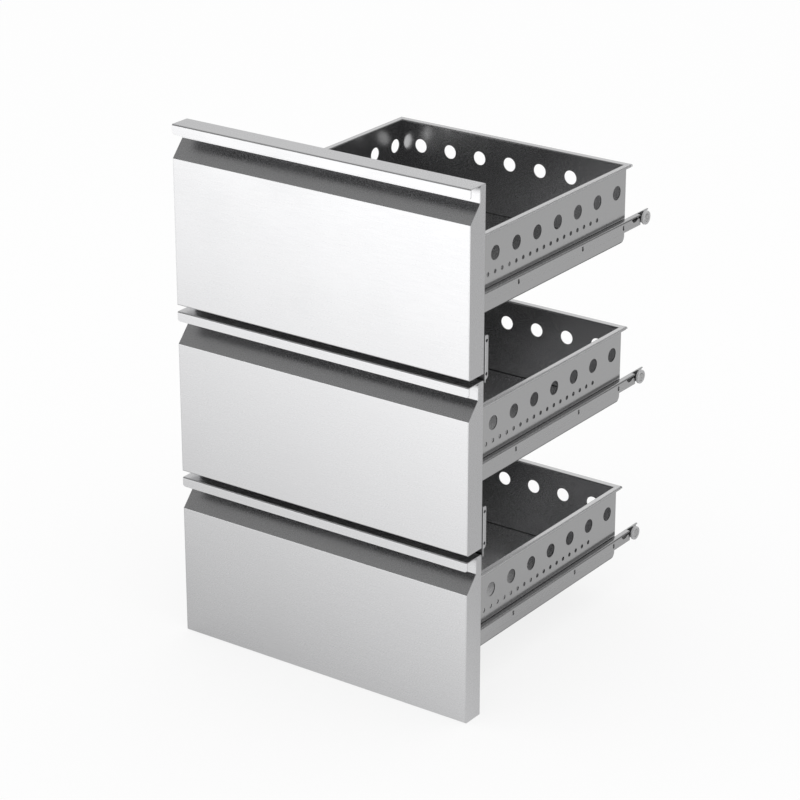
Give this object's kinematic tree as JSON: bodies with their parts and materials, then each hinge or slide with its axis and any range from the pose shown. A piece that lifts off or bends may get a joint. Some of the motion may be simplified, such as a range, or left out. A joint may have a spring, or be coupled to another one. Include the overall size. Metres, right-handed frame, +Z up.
{
  "type": "outdoor kitchen drawer unit",
  "caption": "Stack of steel drawers with full-width grip lips, perforated bins on roller rails and crossbars between the fronts, to be built into an outdoor kitchen.",
  "frame": {"origin": "middle of the footprint, level with the lower edge of the bottom front", "axes": "+X to the right across the fronts, +Y to the rear, +Z up"},
  "size_m": [0.43, 0.463, 0.672],
  "materials": {
    "front_steel": "satin",
    "bin_steel": "satin",
    "rail_steel": "satin",
    "bar_steel": "satin",
    "pin_steel": "satin",
    "roller_plastic": "matte",
    "seal_rubber": "matte",
    "foam": "matte"
  },
  "bodies": {
    "crossbars": {"upper_crossbar": "bar_steel", "lower_crossbar": "bar_steel"},
    "top_drawer": {"top_front_skin": "front_steel", "top_grip_lip": "front_steel", "top_front_core": "foam", "top_front_back_plate": "front_steel", "top_front_cap_left": "front_steel", "top_front_cap_right": "front_steel", "top_front_seal": "seal_rubber", "top_bin_body": "bin_steel", "top_bin_back": "bin_steel", "top_bin_front": "bin_steel", "top_rail_left": "rail_steel", "top_rail_right": "rail_steel", "top_axle_left": "pin_steel", "top_axle_right": "pin_steel", "top_front_screws": "pin_steel", "top_rail_rivets": "pin_steel"},
    "top_left_wheel": {"top_roller_left": "roller_plastic"},
    "top_right_wheel": {"top_roller_right": "roller_plastic"},
    "middle_drawer": {"middle_front_skin": "front_steel", "middle_grip_lip": "front_steel", "middle_front_core": "foam", "middle_front_back_plate": "front_steel", "middle_front_cap_left": "front_steel", "middle_front_cap_right": "front_steel", "middle_front_seal": "seal_rubber", "middle_bin_body": "bin_steel", "middle_bin_back": "bin_steel", "middle_bin_front": "bin_steel", "middle_rail_left": "rail_steel", "middle_rail_right": "rail_steel", "middle_axle_left": "pin_steel", "middle_axle_right": "pin_steel", "middle_front_screws": "pin_steel", "middle_rail_rivets": "pin_steel"},
    "middle_left_wheel": {"middle_roller_left": "roller_plastic"},
    "middle_right_wheel": {"middle_roller_right": "roller_plastic"},
    "bottom_drawer": {"bottom_front_skin": "front_steel", "bottom_grip_lip": "front_steel", "bottom_front_core": "foam", "bottom_front_back_plate": "front_steel", "bottom_front_cap_left": "front_steel", "bottom_front_cap_right": "front_steel", "bottom_front_seal": "seal_rubber", "bottom_bin_body": "bin_steel", "bottom_bin_back": "bin_steel", "bottom_bin_front": "bin_steel", "bottom_rail_left": "rail_steel", "bottom_rail_right": "rail_steel", "bottom_axle_left": "pin_steel", "bottom_axle_right": "pin_steel", "bottom_front_screws": "pin_steel", "bottom_rail_rivets": "pin_steel"},
    "bottom_left_wheel": {"bottom_roller_left": "roller_plastic"},
    "bottom_right_wheel": {"bottom_roller_right": "roller_plastic"}
  },
  "joints": [
    {"name": "top_slide", "type": "slide", "parent": "crossbars", "child": "top_drawer", "axis": [0, -1, 0], "range_m": [0, 0.33]},
    {"name": "top_left_spin", "type": "hinge", "parent": "top_drawer", "child": "top_left_wheel", "pos_m": [-0.1768, 0.2145, 0.5093], "axis": [1, 0, 0], "continuous": true},
    {"name": "top_right_spin", "type": "hinge", "parent": "top_drawer", "child": "top_right_wheel", "pos_m": [0.1768, 0.2145, 0.5093], "axis": [1, 0, 0], "continuous": true},
    {"name": "middle_slide", "type": "slide", "parent": "crossbars", "child": "middle_drawer", "axis": [0, -1, 0], "range_m": [0, 0.33]},
    {"name": "middle_left_spin", "type": "hinge", "parent": "middle_drawer", "child": "middle_left_wheel", "pos_m": [-0.1768, 0.2145, 0.2943], "axis": [1, 0, 0], "continuous": true},
    {"name": "middle_right_spin", "type": "hinge", "parent": "middle_drawer", "child": "middle_right_wheel", "pos_m": [0.1768, 0.2145, 0.2943], "axis": [1, 0, 0], "continuous": true},
    {"name": "bottom_slide", "type": "slide", "parent": "crossbars", "child": "bottom_drawer", "axis": [0, -1, 0], "range_m": [0, 0.33]},
    {"name": "bottom_left_spin", "type": "hinge", "parent": "bottom_drawer", "child": "bottom_left_wheel", "pos_m": [-0.1768, 0.2145, 0.0733], "axis": [1, 0, 0], "continuous": true},
    {"name": "bottom_right_spin", "type": "hinge", "parent": "bottom_drawer", "child": "bottom_right_wheel", "pos_m": [0.1768, 0.2145, 0.0733], "axis": [1, 0, 0], "continuous": true}
  ],
  "couplings": [
    {"joint": "top_left_spin", "follows": "top_slide", "rad_per_m": 111.11},
    {"joint": "top_right_spin", "follows": "top_slide", "rad_per_m": 111.11},
    {"joint": "middle_left_spin", "follows": "middle_slide", "rad_per_m": 111.11},
    {"joint": "middle_right_spin", "follows": "middle_slide", "rad_per_m": 111.11},
    {"joint": "bottom_left_spin", "follows": "bottom_slide", "rad_per_m": 111.11},
    {"joint": "bottom_right_spin", "follows": "bottom_slide", "rad_per_m": 111.11}
  ]
}
